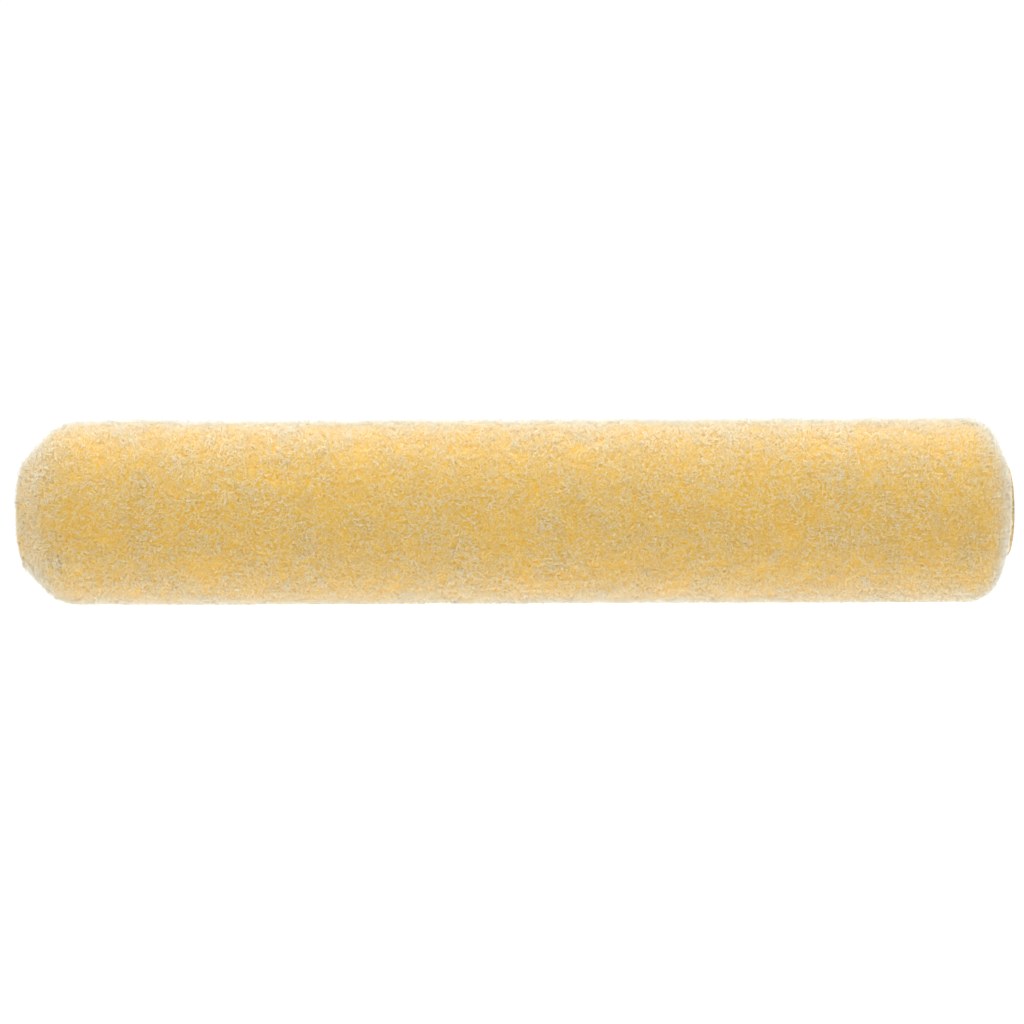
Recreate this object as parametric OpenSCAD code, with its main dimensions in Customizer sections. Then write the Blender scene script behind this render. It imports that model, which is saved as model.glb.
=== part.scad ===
// Paint roller cover: a wound kraft core, a glue film, and a helically wound strip of pile fabric.
// The axis is X, +Z is up, and the origin is the middle of the bore. All sizes are in millimetres.

/* [Core] */
// Length of the cover
cover_length = 457.2; // [150:0.1:460]
// Inside diameter of the core, which slides over the cage of a roller frame
bore_diameter = 38.1; // [30:0.1:60]
// Thickness of one kraft ply
ply_thickness = 0.5; // [0.4:0.05:0.8]
// Width of a ply's butt seam
ply_seam = 0.6; // [0.4:0.05:1.5]

/* [Cover fabric] */
// Thickness of the glue film between core and fabric
glue_thickness = 0.2; // [0.15:0.05:0.5]
// Thickness of the knitted backing
backing_thickness = 1.3; // [0.8:0.1:2]
// Width of the butt seam in the backing
backing_seam = 0.8; // [0.4:0.1:1.5]
// Advance of the fabric strip along the core in one turn
strip_lead = 76.2; // [60:0.1:120]
// Height of the pile above the backing
pile_height = 20; // [12:0.5:30]
// How far the fabric stops short of the core's right end
right_setback = 2; // [0:0.1:3]

/* [Sheared ends] */
// Pile height left standing at the end faces
end_pile = 2; // [1:0.5:4]
// Angle of the left bevel from the axis
left_bevel_angle = 46; // [35:1:70]
// Radius that blends the left bevel into the pile's surface
left_blend_radius = 22; // [2:1:24]
// Angle of the right bevel from the axis
right_bevel_angle = 66; // [35:1:70]
// Radius that blends the right bevel into the pile's surface
right_blend_radius = 15; // [2:1:20]

/* [Hidden] */
$fn = 96;

bore_radius = bore_diameter / 2;
core_radius = bore_radius + 4 * ply_thickness;
glue_radius = core_radius + glue_thickness;
backing_radius = glue_radius + backing_thickness;
pile_radius = backing_radius + pile_height;
half_length = cover_length / 2;
fabric_length = cover_length - right_setback;

seam_overshoot = 0.2;       // how far a seam's cutter passes each face of its strip
end_overshoot = 1;          // how far cutters pass the ends of what they cut
slices_per_turn = 24;       // facets of a seam's cutter in one turn
blend_steps = 8;            // straight pieces in each blend
ply_phase = 90;             // each ply's seam lies this far round from the one below

kraft_inner = [0.66, 0.50, 0.34];
kraft_lower = [0.60, 0.45, 0.30];
kraft_upper = [0.55, 0.41, 0.27];
kraft_outer = [0.50, 0.36, 0.23];
glue_colour = [0.90, 0.84, 0.66];
backing_colour = [0.95, 0.90, 0.78];
pile_colour = [0.92, 0.76, 0.43];

// A tube along the axis, from the left end of the core
module tube(inner, outer, length) {
  translate([-half_length, 0, 0])
    rotate([0, 90, 0])
      difference() {
        cylinder(h = length, r = outer);
        translate([0, 0, -end_overshoot])
          cylinder(h = length + 2 * end_overshoot, r = inner);
      }
}

// The helical gap between the edges of a wound strip
module seam_gap(inner, outer, width, phase) {
  length = cover_length + 2 * end_overshoot;
  turns = length / strip_lead;
  rotate([0, 90, 0])
    rotate([0, 0, phase])
      linear_extrude(height = length, center = true, twist = 360 * turns,
                     slices = ceil(slices_per_turn * turns), segments = 4)
        translate([inner - seam_overshoot, -width / 2])
          square([outer - inner + 2 * seam_overshoot, width]);
}

// One strip wound edge to edge into a tube
module wound_strip(inner, outer, length, seam, phase) {
  difference() {
    tube(inner, outer, length);
    seam_gap(inner, outer, seam, phase);
  }
}

// One ply of the core, counted from the bore outwards
module ply(index, tint) {
  inner = bore_radius + index * ply_thickness;
  color(tint)
    wound_strip(inner, inner + ply_thickness, cover_length, ply_seam, index * ply_phase);
}

module inner_ply() {
  ply(0, kraft_inner);
}

module lower_middle_ply() {
  ply(1, kraft_lower);
}

module upper_middle_ply() {
  ply(2, kraft_upper);
}

module outer_ply() {
  ply(3, kraft_outer);
}

module adhesive_film() {
  color(glue_colour)
    tube(core_radius, glue_radius, fabric_length);
}

module fabric_backing() {
  color(backing_colour)
    wound_strip(glue_radius, backing_radius, fabric_length, backing_seam, 2 * ply_phase);
}

// Points of one sheared end from its face inwards, as [distance from the face, radius]:
// a straight bevel, then an arc that meets both the bevel and the pile's surface without a corner.
// A low pile takes a smaller blend, so that some of the bevel is left.
function sheared_end(angle, wanted_blend) =
  let (
    start_radius = backing_radius + end_pile,
    rise = pile_radius - start_radius,
    blend = min(wanted_blend, 0.95 * rise / (1 - cos(angle))),
    arc_centre_radius = pile_radius - blend,
    arc_end = rise / tan(angle) + blend * tan(angle / 2)
  )
  concat(
    [[0, start_radius]],
    [for (i = [0 : blend_steps])
      let (a = angle * (1 - i / blend_steps))
        [arc_end - blend * sin(a), arc_centre_radius + blend * cos(a)]]
  );

// Profile of the pile, as [radius, distance from the left end]
function pile_profile() =
  let (
    left = sheared_end(left_bevel_angle, left_blend_radius),
    right = sheared_end(right_bevel_angle, right_blend_radius)
  )
  concat(
    [for (p = left) [p[1], p[0]]],
    [for (i = [len(right) - 1 : -1 : 0]) [right[i][1], fabric_length - right[i][0]]],
    [[backing_radius, fabric_length], [backing_radius, 0]]
  );

module pile() {
  color(pile_colour)
    translate([-half_length, 0, 0])
      rotate([0, 90, 0])
        rotate_extrude()
          polygon(pile_profile());
}

inner_ply();
lower_middle_ply();
upper_middle_ply();
outer_ply();
adhesive_film();
fabric_backing();
pile();
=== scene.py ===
"""Looks of the paint roller cover: knitted gold and white pile round a wound kraft core.

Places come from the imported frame: the pile's outline is read from the CAD pile, and the core's
radii from the boxes of its plies. Lengths are in metres and angles in radians.
Angles round the axis are measured from +Y towards +Z.
"""

import math

import bpy
import numpy as np
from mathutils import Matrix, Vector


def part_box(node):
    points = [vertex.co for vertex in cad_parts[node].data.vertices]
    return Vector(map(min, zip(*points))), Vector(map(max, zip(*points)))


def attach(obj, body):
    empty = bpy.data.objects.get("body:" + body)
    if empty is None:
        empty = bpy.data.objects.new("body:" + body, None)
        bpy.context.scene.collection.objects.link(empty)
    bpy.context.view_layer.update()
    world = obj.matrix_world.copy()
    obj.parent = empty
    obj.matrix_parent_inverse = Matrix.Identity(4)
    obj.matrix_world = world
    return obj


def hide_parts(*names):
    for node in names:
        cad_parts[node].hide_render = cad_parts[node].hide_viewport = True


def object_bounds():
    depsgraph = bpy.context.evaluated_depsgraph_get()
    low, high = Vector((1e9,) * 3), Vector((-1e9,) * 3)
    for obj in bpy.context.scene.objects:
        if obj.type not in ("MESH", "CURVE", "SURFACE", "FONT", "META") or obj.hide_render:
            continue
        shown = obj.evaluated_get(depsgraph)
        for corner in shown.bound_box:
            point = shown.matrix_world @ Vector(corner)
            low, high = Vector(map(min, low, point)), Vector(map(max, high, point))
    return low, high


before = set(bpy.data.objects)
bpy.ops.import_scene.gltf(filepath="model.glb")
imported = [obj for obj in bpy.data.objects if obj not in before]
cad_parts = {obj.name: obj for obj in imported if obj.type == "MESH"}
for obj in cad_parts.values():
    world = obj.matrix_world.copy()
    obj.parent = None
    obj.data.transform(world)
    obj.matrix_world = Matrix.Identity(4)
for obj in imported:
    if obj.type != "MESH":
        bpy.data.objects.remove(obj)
cad_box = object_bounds()

MM = 0.001
TURN = 2 * math.pi

# The fabric, as it is wound
STRIP_LEAD = 76.2 * MM          # advance along the core in one turn
SEAM_ANGLE = math.pi / 2        # where the fabric's seam crosses the middle of the cover
BACKING_GAP = 0.8 * MM          # width of the backing's butt seam
WALE = 1.25 * MM                # spacing of the backing's columns of loops
COURSE = 1.0 * MM               # spacing of its rows of loops

# The pile's surface
GROUND_DEPTH = 1.7 * MM         # the dense ground lies this far below the outline
SWELL = 0.7 * MM                # broad rise and fall
CLUMP = 0.35 * MM               # rise and fall from tuft to tuft
SEAM_DIP = 0.45 * MM            # how far the pile sinks along the seam
SEAM_WIDTH = 5 * MM

# The fibres
GOLD_PIECES, GOLD_STRANDS = 6, 33_000       # pieces along the cover, and strands in each
FUZZ_PIECES, FUZZ_STRANDS = 14, 16_000
SIDEWAYS = 0.55                 # share of strands that lie mostly along the cover
HEADING_SPREAD = 0.7            # how far those turn from it
CURL, COMBED = 1.4, 1.2         # bend of a strand by chance, and with its neighbours
BEND = 1.6                      # how much of that bend shows from root to tip
WAVER = 0.08                    # unsteadiness of a strand's slope
MEAN_TONE = 0.42                # tone of the strands, from 0 golden to 1 pale
MOTTLE = 0.65                   # how much it differs from patch to patch
BANDING = 0.1                   # how much it differs along the winding
TONE_SPREAD = 0.35              # how much it differs from strand to strand
TAPER = 0.7                     # share of its width a strand loses by its tip
END_FUZZ = 0.3 * MM             # how far strands may pass the pile's end faces
END_MARGIN = 0.2 * MM           # how near the outline's ends a strand may lie
UV_HALF_WIDTH = 0.004           # half of a strand's width in its UV map

# The light: it grows from the horizon to overhead, and the table glows most under the cover
OVERHEAD_LIGHT = 2.7
HORIZON_LIGHT = 0.22
FULL_LIGHT_HEIGHT = 1.1         # the light would be full at this height of a unit direction
SEEN_WHITE = 1.05               # the room's brightness to the eye
NEAR_GLOW = 1.46
FAR_GLOW = 0.94
GLOW_REACH = 130 * MM


# ---------------------------------------------------------------- frame

def node_points(name):
    """The vertices of a CAD node, one row each."""
    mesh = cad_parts[name].data
    points = np.empty(len(mesh.vertices) * 3, np.float32)
    mesh.vertices.foreach_get("co", points)
    return points.reshape(-1, 3).astype(float)


def outer_radius(name):
    """The outer radius of a tube from its box."""
    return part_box(name)[1][2]


def pile_outline():
    """The CAD pile's outer outline as rows of [x, radius], with the flat rings at both ends."""
    points = node_points("pile")
    xs = np.round(points[:, 0], 5)
    radii = np.hypot(points[:, 1], points[:, 2])
    stations = np.unique(xs)
    outer = np.array([radii[xs == x].max() for x in stations])
    inner = outer_radius("fabric_backing")
    rows = np.column_stack([stations, outer])
    return np.vstack([[rows[0, 0], inner], rows, [rows[-1, 0], inner]])


class Outline:
    """The pile's outline by distance along it, from the left end's inner edge to the right's.

    It is sampled at each step, with corners softened over the soft length.
    """

    def __init__(self, rows, step=0.25 * MM, soft=4 * MM):
        along = np.concatenate([[0], np.cumsum(np.hypot(*np.diff(rows, axis=0).T))])
        self.length = along[-1]
        self.s = np.linspace(0, self.length, int(self.length / step) + 1)
        x = np.interp(self.s, along, rows[:, 0])
        r = np.interp(self.s, along, rows[:, 1])
        width = int(soft / step) | 1
        window = np.hanning(width + 2)[1:-1]
        window /= window.sum()

        def smooth(values):
            padded = np.pad(values, width // 2, mode="reflect", reflect_type="odd")
            return np.convolve(padded, window, mode="valid")

        self.x, self.r = smooth(x), smooth(r)
        tx, tr = np.gradient(self.x), np.gradient(self.r)
        size = np.hypot(tx, tr)
        self.nx, self.nr = -tr / size, tx / size

    def at(self, s):
        """x, radius and the outward normal's x and radial parts."""
        return [np.interp(s, self.s, v) for v in (self.x, self.r, self.nx, self.nr)]


class Patches:
    """Smooth noise over the pile, by distance along the outline and angle round it: -1 to 1.

    Each octave has half the cell of the one before, and fades by the given factor.
    """

    def __init__(self, rng, length, radius, cell, octaves, fade=0.5):
        self.layers = []
        for octave in range(octaves):
            size = cell / 2**octave
            rows = int(length / size) + 3
            columns = max(4, int(TURN * radius / size))
            grid = rng.random((rows, columns)) * 2 - 1
            self.layers.append((grid, size, columns, fade**octave))

    def __call__(self, s, angle):
        total, weight = 0.0, 0.0
        for grid, size, columns, share in self.layers:
            u = np.clip(s / size, 0, grid.shape[0] - 2)
            v = (angle / TURN % 1) * columns
            i, j = u.astype(int), v.astype(int) % columns
            fu, fv = u - i, v - np.floor(v)
            fu, fv = (f * f * (3 - 2 * f) for f in (fu, fv))
            k = (j + 1) % columns
            near = grid[i, j] * (1 - fv) + grid[i, k] * fv
            far = grid[i + 1, j] * (1 - fv) + grid[i + 1, k] * fv
            total = total + share * (near * (1 - fu) + far * fu)
            weight += share
        return total / weight


def seam_distance(x, angle):
    """How far a point is along the axis from the nearest turn of the fabric's seam."""
    turns = x / STRIP_LEAD + (angle - SEAM_ANGLE) / TURN
    return np.abs(turns - np.round(turns)) * STRIP_LEAD


outline = Outline(pile_outline())
pile_radius = outline.r.max()
pile_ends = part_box("pile")[0][0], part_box("pile")[1][0]
rng = np.random.default_rng(20)
swell = Patches(rng, outline.length, pile_radius, 34 * MM, 2)
clumps = Patches(rng, outline.length, pile_radius, 7 * MM, 2)
mottle = Patches(rng, outline.length, pile_radius, 12 * MM, 4, 0.8)
lay = Patches(rng, outline.length, pile_radius, 9 * MM, 2)


def relief(s, x, angle):
    """How far the pile's surface stands proud of its outline."""
    dip = np.exp(-((seam_distance(x, angle) / SEAM_WIDTH) ** 2))
    return SWELL * swell(s, angle) + CLUMP * clumps(s, angle) - SEAM_DIP * dip


# ---------------------------------------------------------------- meshes

def new_mesh(name, points, quads, uv=None, normals=None):
    """A mesh object from arrays of points, four-cornered faces, each corner's UV and each
    point's normal, where it isn't the mesh's own."""
    mesh = bpy.data.meshes.new(name)
    mesh.vertices.add(len(points))
    mesh.vertices.foreach_set("co", np.ascontiguousarray(points, np.float32).ravel())
    mesh.loops.add(quads.size)
    mesh.loops.foreach_set("vertex_index", np.ascontiguousarray(quads, np.int32).ravel())
    mesh.polygons.add(len(quads))
    mesh.polygons.foreach_set("loop_start", np.arange(0, quads.size, 4, dtype=np.int32))
    mesh.polygons.foreach_set("use_smooth", np.ones(len(quads), bool))
    if uv is not None:
        layer = mesh.uv_layers.new(name="OFBake")
        layer.uv.foreach_set("vector", np.ascontiguousarray(uv, np.float32).ravel())
    mesh.update(calc_edges=True)
    mesh.validate()
    if normals is not None:
        mesh.normals_split_custom_set_from_vertices(normals)
    made = bpy.data.objects.new(name, mesh)
    bpy.context.scene.collection.objects.link(made)
    return made


def ring_quads(rows, columns):
    """Faces of a closed body: each row of points is a ring, and the last ring joins the first."""
    i = np.arange(rows)[:, None]
    j = np.arange(columns)[None, :]
    below, beside = (i + 1) % rows, (j + 1) % columns
    corners = [
        i * columns + j,
        i * columns + beside,
        below * columns + beside,
        below * columns + j,
    ]
    return np.stack([np.broadcast_to(c, (rows, columns)) for c in corners], -1).reshape(-1, 4)


def sheet_quads(rows, columns):
    """Faces of a thin closed sheet: a grid of top points, then the same grid of bottom points."""
    i, j = np.meshgrid(np.arange(rows - 1), np.arange(columns - 1), indexing="ij")
    first = (i * columns + j).ravel()
    top = np.stack([first, first + 1, first + columns + 1, first + columns], -1)
    bottom = top[:, ::-1] + rows * columns
    ends = [np.arange(columns), (rows - 1) * columns + np.arange(columns)[::-1]]
    sides = [np.arange(rows)[::-1] * columns, np.arange(rows) * columns + columns - 1]
    edges = []
    for line in ends + sides:
        a, b = line[:-1], line[1:]
        edges.append(np.stack([b, a, a + rows * columns, b + rows * columns], -1))
    return np.concatenate([top, bottom, *edges])


def ring_uv(rows, columns):
    """The UV of each corner of ring_quads: round the axis, and from ring to ring."""
    i = np.arange(rows)[:, None]
    j = np.arange(columns)[None, :]
    corners = [(j, i), (j + 1, i), (j + 1, i + 1), (j, i + 1)]
    uv = [
        np.stack(np.broadcast_arrays(a / columns, b / rows), -1)
        for a, b in corners
    ]
    return np.stack(uv, -2).reshape(-1, 2)


def place(x, r, angle):
    """Points in the row frame from cylindrical coordinates."""
    return np.stack(np.broadcast_arrays(x, r * np.cos(angle), r * np.sin(angle)), -1)


# ---------------------------------------------------------------- materials

def new_material(name, roughness, **values):
    """A principled material and its shader node; values are set on the shader's own sockets."""
    material = bpy.data.materials.new(name)
    material.use_nodes = True
    shader = material.node_tree.nodes["Principled BSDF"]
    shader.inputs["Roughness"].default_value = roughness
    for key, value in values.items():
        shader.inputs[key.replace("_", " ").title()].default_value = value
    return material, shader


def node(material, kind, **values):
    """Adds a shader node; values name its inputs, or its properties where it has no such input."""
    made = material.node_tree.nodes.new(kind)
    for key, value in values.items():
        label = key.replace("_", " ").title()
        if label in made.inputs:
            made.inputs[label].default_value = value
        else:
            setattr(made, key, value)
    return made


def link(material, source, target):
    material.node_tree.links.new(source, target)


def ramp(material, factor, stops):
    """The colour output of a ramp through (place, colour) stops."""
    made = material.node_tree.nodes.new("ShaderNodeValToRGB")
    elements = made.color_ramp.elements
    while len(elements) < len(stops):
        elements.new(0.5)
    for element, (at, colour) in zip(elements, stops):
        element.position = at
        element.color = (*colour, 1)
    link(material, factor, made.inputs["Fac"])
    return made.outputs["Color"]


def mix(material, factor, first, second, blend="MIX"):
    """Mixes two colours; each of the three may be a socket or a value."""
    made = material.node_tree.nodes.new("ShaderNodeMix")
    made.data_type = "RGBA"
    made.blend_type = blend
    sockets = made.inputs[0], made.inputs[6], made.inputs[7]
    for socket, value in zip(sockets, (factor, first, second)):
        if isinstance(value, bpy.types.NodeSocket):
            link(material, value, socket)
        else:
            socket.default_value = value if isinstance(value, float) else (*value, 1)
    return made.outputs[2]


def object_place(material):
    """Where the shaded point is, in the piece's own metres."""
    return node(material, "ShaderNodeTexCoord").outputs["Object"]


def masked_length(material, vector, mask):
    """The length of a vector after some of its parts are masked out."""
    masked = node(material, "ShaderNodeVectorMath", operation="MULTIPLY")
    masked.inputs[1].default_value = mask
    link(material, vector, masked.inputs[0])
    length = node(material, "ShaderNodeVectorMath", operation="LENGTH")
    link(material, masked.outputs["Vector"], length.inputs[0])
    return length.outputs["Value"]


def smooth_range(material, value, start, end, low=0.0, high=1.0):
    """A value that eases from low to high as another goes from start to end."""
    made = node(material, "ShaderNodeMapRange", interpolation_type="SMOOTHSTEP")
    made.inputs["From Min"].default_value = start
    made.inputs["From Max"].default_value = end
    made.inputs["To Min"].default_value = low
    made.inputs["To Max"].default_value = high
    link(material, value, made.inputs["Value"])
    return made.outputs["Result"]


def add_bump(material, shader, height, strength, distance):
    """Bump on a shader from a height, at a distance in metres."""
    bump = node(material, "ShaderNodeBump", strength=strength, distance=distance)
    link(material, height, bump.inputs["Height"])
    link(material, bump.outputs["Normal"], shader.inputs["Normal"])


def fibre_material(name, root, middle, tip, pale, palest):
    """Fibre whose colour runs from root to tip, and from strand to strand. The deeper gold towards
    each root is painted shade of the pile's depth; the pale tips are partly the fibre's own colour
    and partly painted sheen.

    The UV map holds each strand's tone across and the distance from its root upwards. The tone
    mixes in the pale colour, up to the palest share.
    """
    material, shader = new_material(name, 0.5, sheen_weight=1.0, sheen_roughness=0.68)
    shader.inputs["Sheen Tint"].default_value = (1.0, 0.98, 0.94, 1)
    shader.inputs["Specular IOR Level"].default_value = 0.3
    uv = node(material, "ShaderNodeUVMap", uv_map="OFBake")
    parts = node(material, "ShaderNodeSeparateXYZ")
    link(material, uv.outputs["UV"], parts.inputs[0])
    along = ramp(material, parts.outputs["Y"], [(0.1, root), (0.5, middle), (1.0, tip)])
    lift = ramp(material, parts.outputs["X"], [(0.0, (0, 0, 0)), (1.0, (palest,) * 3)])
    link(material, mix(material, lift, along, pale), shader.inputs["Base Color"])
    return material


def ground_material():
    """The dense fibre below the strands: gold, flecked with cream."""
    material, shader = new_material("pile_ground", 0.8, sheen_weight=0.2)
    place_in = object_place(material)
    blobs = node(material, "ShaderNodeTexNoise", scale=160.0, detail=4.0)
    flecks = node(material, "ShaderNodeTexNoise", scale=900.0, detail=3.0)
    for texture in (blobs, flecks):
        link(material, place_in, texture.inputs["Vector"])
    golds = [(0.3, (0.86, 0.47, 0.015)), (0.7, (0.90, 0.57, 0.05))]
    gold = ramp(material, blobs.outputs["Fac"], golds)
    fleck = ramp(material, flecks.outputs["Fac"], [(0.45, (0, 0, 0)), (0.7, (1, 1, 1))])
    link(material, mix(material, fleck, gold, (0.92, 0.68, 0.20)), shader.inputs["Base Color"])
    add_bump(material, shader, flecks.outputs["Fac"], strength=0.6, distance=0.4 * MM)
    return material


def kraft_material(name, colour, glue_line=None):
    """Resin-filled kraft paper: cloudy brown with long fibres, flecks and a soft shine.

    Where a glue line is given, the paper is darker within a hair of that radius, so the cut end
    shows where one ply meets the next.
    """
    material, shader = new_material(name, 0.6)
    place_in = object_place(material)
    cloud = node(material, "ShaderNodeTexNoise", scale=70.0, detail=5.0)
    link(material, place_in, cloud.inputs["Vector"])
    stretch = node(material, "ShaderNodeMapping")
    stretch.inputs["Scale"].default_value = (250, 900, 900)
    link(material, place_in, stretch.inputs["Vector"])
    hairs = node(material, "ShaderNodeTexNoise", scale=1.0, detail=6.0, distortion=0.6)
    link(material, stretch.outputs["Vector"], hairs.inputs["Vector"])
    dark = tuple(c * 0.8 for c in colour)
    pale = tuple(min(1, c * 1.18) for c in colour)
    base = ramp(material, cloud.outputs["Fac"], [(0.3, dark), (0.7, pale)])
    shades = [(0.35, (0.66, 0.6, 0.54)), (0.6, (1.0, 1.0, 1.0))]
    fleck = ramp(material, hairs.outputs["Fac"], shades)
    paper = mix(material, 1.0, base, fleck, "MULTIPLY")
    if glue_line is not None:
        radius = masked_length(material, place_in, (0, 1, 1))
        line = smooth_range(material, radius, glue_line - 0.12 * MM, glue_line - 0.02 * MM)
        paper = mix(material, line, paper, tuple(c * 0.45 for c in colour))
    link(material, paper, shader.inputs["Base Color"])
    rough = ramp(material, cloud.outputs["Fac"], [(0.3, (0.5,) * 3), (0.7, (0.68,) * 3)])
    link(material, rough, shader.inputs["Roughness"])
    add_bump(material, shader, hairs.outputs["Fac"], strength=0.4, distance=0.12 * MM)
    return material


def glue_material():
    """Hot-melt glue, set: amber, cloudy and glossy."""
    material, shader = new_material("set_glue", 0.25, coat_weight=0.3, coat_roughness=0.15)
    place_in = object_place(material)
    cloud = node(material, "ShaderNodeTexNoise", scale=220.0, detail=4.0)
    link(material, place_in, cloud.inputs["Vector"])
    ambers = [(0.3, (0.72, 0.56, 0.30)), (0.7, (0.88, 0.78, 0.55))]
    link(material, ramp(material, cloud.outputs["Fac"], ambers), shader.inputs["Base Color"])
    add_bump(material, shader, cloud.outputs["Fac"], strength=0.25, distance=0.15 * MM)
    return material


def knit_material():
    """The backing's spun polyester yarn: cream, hairy and matt."""
    material, shader = new_material("backing_yarn", 0.85, sheen_weight=0.4, sheen_roughness=0.5)
    place_in = object_place(material)
    fibres = node(material, "ShaderNodeTexNoise", scale=2600.0, detail=3.0)
    tint = node(material, "ShaderNodeTexNoise", scale=140.0, detail=3.0)
    for texture in (fibres, tint):
        link(material, place_in, texture.inputs["Vector"])
    creams = [(0.3, (0.84, 0.74, 0.54)), (0.7, (0.93, 0.88, 0.76))]
    shades = [(0.35, (0.78, 0.74, 0.68)), (0.65, (1.0, 1.0, 1.0))]
    base = ramp(material, tint.outputs["Fac"], creams)
    fibre = ramp(material, fibres.outputs["Fac"], shades)
    link(material, mix(material, 1.0, base, fibre, "MULTIPLY"), shader.inputs["Base Color"])
    add_bump(material, shader, fibres.outputs["Fac"], strength=0.5, distance=0.1 * MM)
    return material


# ---------------------------------------------------------------- camera, lights and floor

def add_camera():
    """Square to the cover, level, far enough off that its ends bulge only a little."""
    distance, view_width = 1.3, 0.4765
    aside, height, roll = -1.5 * MM, 0.2 * MM, math.radians(0.22)
    data = bpy.data.cameras.new("camera")
    data.sensor_width = 36
    data.lens = data.sensor_width * distance / view_width
    camera = bpy.data.objects.new("camera", data)
    camera.location = (aside, -distance, height)
    camera.rotation_euler = (math.pi / 2, roll, 0)
    bpy.context.scene.collection.objects.link(camera)
    bpy.context.scene.camera = camera


def add_floor(height):
    """A wide white sweep, lit from within and brightest under the cover, where it stays white."""
    side = 6.0
    steps = 24
    axis = np.linspace(-side / 2, side / 2, steps + 1)
    x, y = np.meshgrid(axis, axis, indexing="ij")
    points = np.stack([x, y, np.full_like(x, height)], -1).reshape(-1, 3)
    i, j = np.meshgrid(np.arange(steps), np.arange(steps), indexing="ij")
    first = (i * (steps + 1) + j).ravel()
    quads = np.stack([first, first + steps + 1, first + steps + 2, first + 1], -1)
    floor = new_mesh("floor", points, quads)
    material, shader = new_material("floor_white", 0.9)
    shader.inputs["Base Color"].default_value = (0.1, 0.1, 0.1, 1)
    shader.inputs["Emission Color"].default_value = (1, 1, 1, 1)
    place_in = object_place(material)
    from_axis = masked_length(material, place_in, (0, 1, 0))
    glow = smooth_range(material, from_axis, 0.0, GLOW_REACH, NEAR_GLOW, FAR_GLOW)
    link(material, glow, shader.inputs["Emission Strength"])
    floor.data.materials.append(material)


def light_room():
    """A white room for the eye; what falls on the cover is strongest from overhead."""
    scene = bpy.context.scene
    scene.view_settings.view_transform = "Standard"
    world = bpy.data.worlds.new("studio")
    scene.world = world
    world.use_nodes = True
    tree = world.node_tree
    tree.nodes.clear()
    out = tree.nodes.new("ShaderNodeOutputWorld")
    seen = tree.nodes.new("ShaderNodeBackground")
    seen.inputs["Color"].default_value = (1, 1, 1, 1)
    seen.inputs["Strength"].default_value = SEEN_WHITE
    lit = tree.nodes.new("ShaderNodeBackground")
    lit.inputs["Color"].default_value = (1, 1, 1, 1)
    direction = tree.nodes.new("ShaderNodeTexCoord")
    parts = tree.nodes.new("ShaderNodeSeparateXYZ")
    overhead = tree.nodes.new("ShaderNodeMapRange")
    overhead.interpolation_type = "SMOOTHSTEP"
    overhead.inputs["From Min"].default_value = 0.0
    overhead.inputs["From Max"].default_value = FULL_LIGHT_HEIGHT
    overhead.inputs["To Min"].default_value = HORIZON_LIGHT
    overhead.inputs["To Max"].default_value = OVERHEAD_LIGHT
    tree.links.new(direction.outputs["Generated"], parts.inputs[0])
    tree.links.new(parts.outputs["Z"], overhead.inputs["Value"])
    tree.links.new(overhead.outputs["Result"], lit.inputs["Strength"])
    path = tree.nodes.new("ShaderNodeLightPath")
    blend = tree.nodes.new("ShaderNodeMixShader")
    tree.links.new(path.outputs["Is Camera Ray"], blend.inputs["Fac"])
    tree.links.new(lit.outputs[0], blend.inputs[1])
    tree.links.new(seen.outputs[0], blend.inputs[2])
    tree.links.new(blend.outputs[0], out.inputs[0])


add_camera()
light_room()
add_floor(cad_box[0][2])


# ---------------------------------------------------------------- pile

def add_ground():
    """The closed body of dense fibre that fills the pile below its strands."""
    step, round_it, margin = 1.3 * MM, 200, 3 * MM
    s = np.arange(margin, outline.length - margin, step)
    angle = np.linspace(0, TURN, round_it, endpoint=False)[None, :]
    x, r, nx, nr = (v[:, None] for v in outline.at(s))
    rough, rough_height = Patches(rng, outline.length, pile_radius, 2.6 * MM, 2), 0.5 * MM
    lift = relief(s[:, None], x, angle) - GROUND_DEPTH + rough_height * rough(s[:, None], angle)
    inner, least = outer_radius("fabric_backing"), 0.4 * MM
    outer_x, outer_r = x + lift * nx, np.maximum(r + lift * nr, inner + least)
    left, right = pile_ends
    edge = 0.3 * MM
    outer_x = np.clip(outer_x, left + edge, right - edge)
    low = np.full((1, round_it), inner)
    body_x = np.vstack([np.full_like(low, left + edge), outer_x, np.full_like(low, right - edge)])
    body_r = np.vstack([low, outer_r, low])
    points = place(body_x, body_r, np.broadcast_to(angle, body_x.shape)).reshape(-1, 3)
    rows = len(body_x)
    ground = new_mesh("pile_ground", points, ring_quads(rows, round_it), ring_uv(rows, round_it))
    ground.data.materials.append(ground_material())
    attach(ground, "root")
    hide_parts("pile")


class Yarn:
    """How the fibres of one kind grow: lengths in metres, angles in radians."""

    def __init__(self, points, length, rise, flatten, width, height, section, patchy, shade):
        self.points = points        # points along a fibre
        self.length = length        # shortest and longest
        self.rise = rise            # steepness at the root, least and most
        self.flatten = flatten      # how soon a fibre lies over; 0 stands straight
        self.width = width          # half width, least and most
        self.height = height        # mean and spread of the tips' heights over the surface
        self.section = section      # RIBBON or TUBE
        self.patchy = patchy        # how much wider fibres are where the pile is pale
        self.shade = shade          # 1 shades like the pile's surface, 0 like the fibre itself


# Sections of a fibre as (across, up) corners in half widths: an open ribbon and a closed tube
RIBBON = ((-1, 0), (1, 0))
TUBE = ((-1, -0.5), (0, 1), (1, -0.5))

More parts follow.
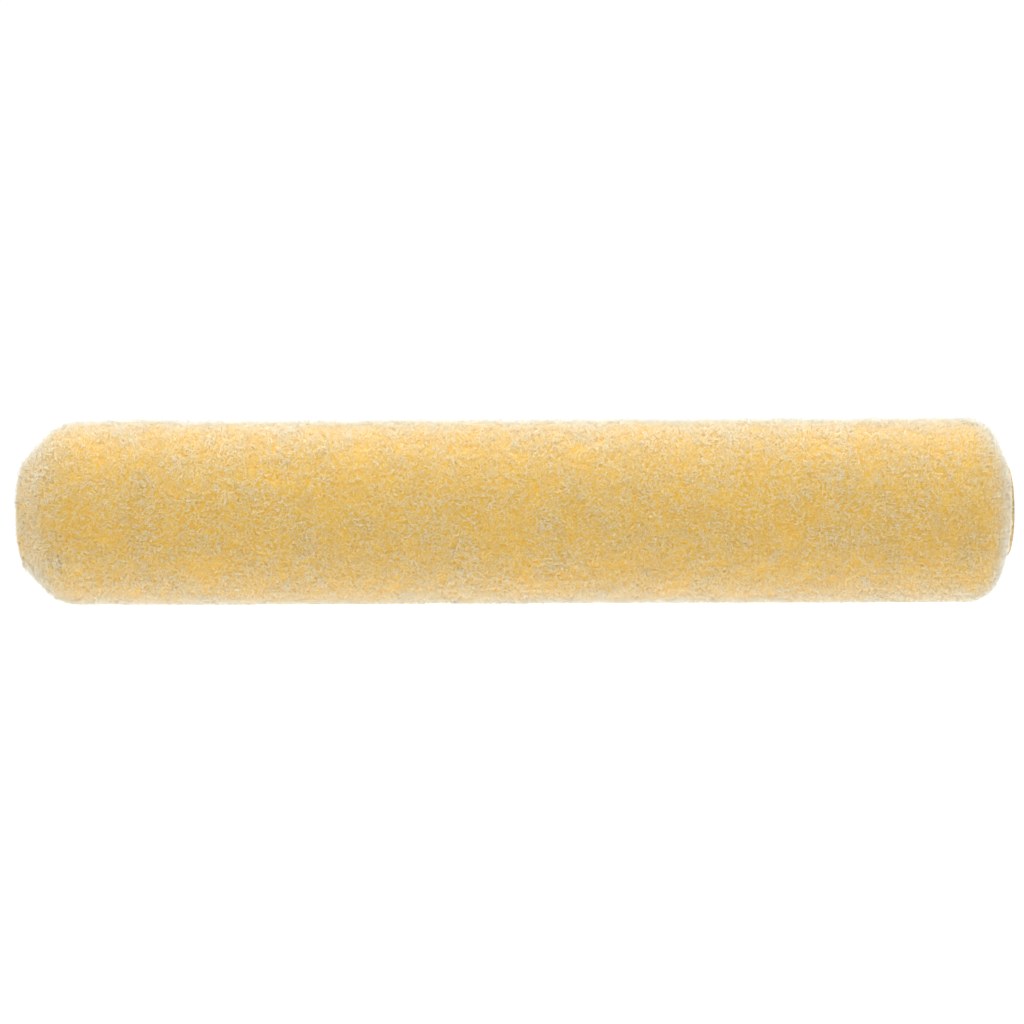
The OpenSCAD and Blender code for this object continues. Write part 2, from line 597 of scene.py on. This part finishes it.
NAP = Yarn(
    points=4, length=(2.4 * MM, 5.0 * MM), rise=(0.25, 0.7), flatten=0.9,
    width=(0.05 * MM, 0.09 * MM), height=(-0.45 * MM, 0.3 * MM),
    section=RIBBON, patchy=0.0, shade=0.9)
FUZZ = Yarn(
    points=3, length=(1.8 * MM, 3.8 * MM), rise=(0.6, 1.35), flatten=0.35,
    width=(0.055 * MM, 0.098 * MM), height=(0.5 * MM, 0.55 * MM),
    section=TUBE, patchy=0.6, shade=0.7)


def strand_paths(yarn, count, first, last):
    """Strands between two distances along the outline: their points, the surface's normals
    there, and each strand's distance along the outline, x and angle."""
    share = np.cumsum(outline.r)
    lo, hi = np.interp([first, last], outline.s, share)
    s = np.interp(lo + rng.random(count) * (hi - lo), share, outline.s)
    angle = rng.random(count) * TURN
    heading = np.where(
        rng.random(count) < SIDEWAYS,
        rng.normal(0, HEADING_SPREAD, count),
        rng.random(count) * math.pi)
    heading += math.pi * rng.integers(0, 2, count)
    curl = rng.normal(0, CURL, count) + COMBED * lay(s, angle)
    steps = yarn.points - 1
    t = (np.arange(steps) + 0.5) / steps
    rise = rng.uniform(*yarn.rise, count)[:, None] * (1 - t) ** yarn.flatten
    rise += rng.normal(0, WAVER, (count, steps))
    turn = heading[:, None] + curl[:, None] * (t - 0.5) * BEND
    step = rng.uniform(*yarn.length, count)[:, None] / steps
    du = step * np.cos(rise) * np.cos(turn)
    dv = step * np.cos(rise) * np.sin(turn)
    dw = step * np.sin(rise)
    u, v, w = (np.pad(np.cumsum(d, 1), ((0, 0), (1, 0))) for d in (du, dv, dw))
    u -= u[:, -1:] / 2
    v -= v[:, -1:] / 2
    w += rng.normal(*yarn.height, count)[:, None] - w[:, -1:]
    path_s = np.clip(s[:, None] + u, END_MARGIN, outline.length - END_MARGIN)
    x, r, nx, nr = outline.at(path_s)
    path_angle = angle[:, None] + v / r
    lift = w + relief(s, x[:, 0], angle)[:, None]
    path_x = np.clip(x + lift * nx, pile_ends[0] - END_FUZZ, pile_ends[1] + END_FUZZ)
    points = place(path_x, r + lift * nr, path_angle)
    return points, place(nx, nr, path_angle), s, x[:, 0], angle


def strand_tones(s, x, angle):
    """Each strand's tone, 0 golden to 1 pale: mottled, with faint bands along the winding."""
    turns = x / STRIP_LEAD + angle / TURN
    bands = 0.5 * np.sin(3 * TURN * turns + 1.0) + 0.5 * np.sin(5 * TURN * turns + 4.0)
    tone = MEAN_TONE + MOTTLE * mottle(s, angle) + BANDING * bands
    return np.clip(tone + rng.normal(0, TONE_SPREAD, len(s)), 0.01, 0.99)


def add_strands(name, yarn, count, first, last, material):
    """One piece of pile: fibres that rise from the ground and lie over along the surface."""
    points, normals, s, x, angle = strand_paths(yarn, count, first, last)
    tangent = np.gradient(points, axis=1)
    tangent /= np.linalg.norm(tangent, axis=2, keepdims=True)
    side = np.cross(normals, tangent)
    side /= np.maximum(np.linalg.norm(side, axis=2, keepdims=True), 1e-6)
    up = np.cross(tangent, side)
    across, above = (np.array(v, float)[:, None] for v in zip(*yarn.section))
    outward = across * side[:, :, None] + above * up[:, :, None]
    t = np.linspace(0, 1, yarn.points)
    width = rng.uniform(*yarn.width, count) * (1 + yarn.patchy * mottle(s, angle))
    width = width[:, None] * (1 - TAPER * t**2)
    body = points[:, :, None] + outward * width[:, :, None, None]
    own = outward if len(yarn.section) > 2 else up[:, :, None]
    facing = yarn.shade * normals[:, :, None] + (1 - yarn.shade) * own
    facing = np.broadcast_to(facing, body.shape)
    facing = facing / np.linalg.norm(facing, axis=3, keepdims=True)
    corners = len(yarn.section)
    near = np.arange(corners if corners > 2 else 1)
    far = (near + 1) % corners
    strand, segment = np.arange(count)[:, None, None], np.arange(yarn.points - 1)[:, None]
    start = (strand * yarn.points + segment) * corners
    quads = np.stack([start + near, start + corners + near, start + corners + far, start + far], -1)
    tone = strand_tones(s, x, angle)[:, None, None, None]
    u = tone + UV_HALF_WIDTH * across[np.stack([near, near, far, far], -1), 0]
    v = np.stack([t[:-1], t[1:], t[1:], t[:-1]], -1)[None, :, None, :]
    uv = np.stack(np.broadcast_arrays(u, v), -1).reshape(-1, 2)
    made = new_mesh(name, body.reshape(-1, 3), quads.reshape(-1, 4), uv, facing.reshape(-1, 3))
    made.data.materials.append(material)
    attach(made, "root")


def add_pile():
    """Gold nap below, and a loose fuzz of paler fibres over it."""
    # Colours run root, middle, tip: the deeper gold at the roots is painted shade of the pile's
    # depth, and the white tips of the fuzz are partly painted sheen.
    gold = fibre_material(
        "gold_fibre", (0.84, 0.46, 0.003), (0.88, 0.54, 0.006), (0.91, 0.65, 0.03),
        pale=(0.93, 0.74, 0.14), palest=0.4)
    white = fibre_material(
        "white_fibre", (0.86, 0.50, 0.01), (0.91, 0.74, 0.20), (0.99, 0.98, 0.95),
        pale=(0.98, 0.97, 0.92), palest=0.55)
    sets = (
        ("pile_gold", NAP, GOLD_STRANDS, GOLD_PIECES, gold),
        ("pile_fuzz", FUZZ, FUZZ_STRANDS, FUZZ_PIECES, white),
    )
    for name, yarn, count, pieces, material in sets:
        bounds = np.linspace(0, outline.length, pieces + 1)
        for i, (first, last) in enumerate(zip(bounds[:-1], bounds[1:]), 1):
            add_strands(f"{name}_{i}", yarn, count, first, last, material)


add_ground()
add_pile()


# ---------------------------------------------------------------- core

def finish_core():
    """Gives each wound ply its own kraft; all but the last show a glue line at the cut ends."""
    looks = {
        "inner_ply": (0.50, 0.33, 0.17),
        "lower_middle_ply": (0.44, 0.28, 0.14),
        "upper_middle_ply": (0.50, 0.34, 0.18),
        "outer_ply": (0.62, 0.47, 0.23),
    }
    for name, colour in looks.items():
        glue_line = None if name == "outer_ply" else outer_radius(name)
        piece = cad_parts[name]
        piece.data.materials.clear()
        piece.data.materials.append(kraft_material(f"kraft_{name}", colour, glue_line))


def add_glue():
    """The glue film, with the uneven bead that squeezes out past the fabric at the right end."""
    inner, outer = outer_radius("outer_ply"), outer_radius("adhesive_film")
    left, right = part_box("adhesive_film")[0][0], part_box("adhesive_film")[1][0]
    core_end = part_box("outer_ply")[1][0]
    round_it = 360
    angle = np.linspace(0, TURN, round_it, endpoint=False)
    blob, bead_height = 4 * MM, 0.25 * MM
    squeeze = Patches(rng, 1 * MM, outer, blob, 3)(np.zeros(round_it), angle)
    reach = (0.45 + 0.4 * squeeze) * (core_end - right)
    swell_up = bead_height * (1 + 0.6 * squeeze)
    sides = [(left, inner), (left, outer), (right, outer)]
    rows = [(np.full(round_it, x), np.full(round_it, r)) for x, r in sides]
    for turn in np.linspace(0, math.pi / 2, 7):
        proud = (outer - inner + swell_up) * math.cos(turn)
        rows.append((right + reach * math.sin(turn), inner + proud))
    body_x, body_r = (np.array(v) for v in zip(*rows))
    body_r = np.maximum(body_r, inner)
    points = place(body_x, body_r, angle[None, :]).reshape(-1, 3)
    count = len(body_x)
    glue = new_mesh("glue_film", points, ring_quads(count, round_it), ring_uv(count, round_it))
    glue.data.materials.append(glue_material())
    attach(glue, "root")
    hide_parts("adhesive_film")


def add_backing():
    """The knitted backing: one strip wound edge to edge, its loops showing at the cut ends."""
    inner, outer = outer_radius("adhesive_film"), outer_radius("fabric_backing")
    left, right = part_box("fabric_backing")[0][0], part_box("fabric_backing")[1][0]
    wales = round(TURN * outer / WALE)
    columns = wales * 4 + 1
    edge, inset = np.arange(0, 3.01, 0.25) * MM, 6 * MM
    middle = np.linspace(left + inset, right - inset, 60)
    rows = np.concatenate([left + edge, middle, right - edge[::-1]])
    x = rows[:, None]
    gap = BACKING_GAP / outer
    sweep = np.linspace(gap / 2, TURN - gap / 2, columns)[None, :]
    angle = SEAM_ANGLE - TURN * x / STRIP_LEAD + sweep
    wale = np.cos(sweep * wales)
    course = np.cos(TURN * (x - left) / COURSE + math.pi * (wale > 0))
    loop_height, fray, hem = 0.16 * MM, 0.12 * MM, 0.1 * MM
    corner_length, corner_height = 0.5 * MM, 0.3 * MM
    top_gap, bottom_gap = 0.26 * MM, 0.02 * MM
    knit = loop_height * (wale + 0.5 * course)
    frayed = fray * (1 + wale)
    near_left, near_right = x < left + hem, x > right - hem
    body_x = np.broadcast_to(x, angle.shape) + frayed * near_left - frayed * near_right
    depth = np.minimum(np.minimum(x - left, right - x) / corner_length, 1)
    rounding = corner_height * (1 - np.sqrt(np.clip(1 - (1 - depth) ** 2, 0, 1)))
    top = place(body_x, outer - top_gap + knit - rounding, angle)
    bottom = place(body_x, inner + bottom_gap + rounding + 0 * angle, angle)
    points = np.concatenate([top.reshape(-1, 3), bottom.reshape(-1, 3)])
    backing = new_mesh("knit_backing", points, sheet_quads(len(rows), columns))
    backing.data.materials.append(knit_material())
    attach(backing, "root")
    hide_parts("fabric_backing")


finish_core()
add_glue()
add_backing()
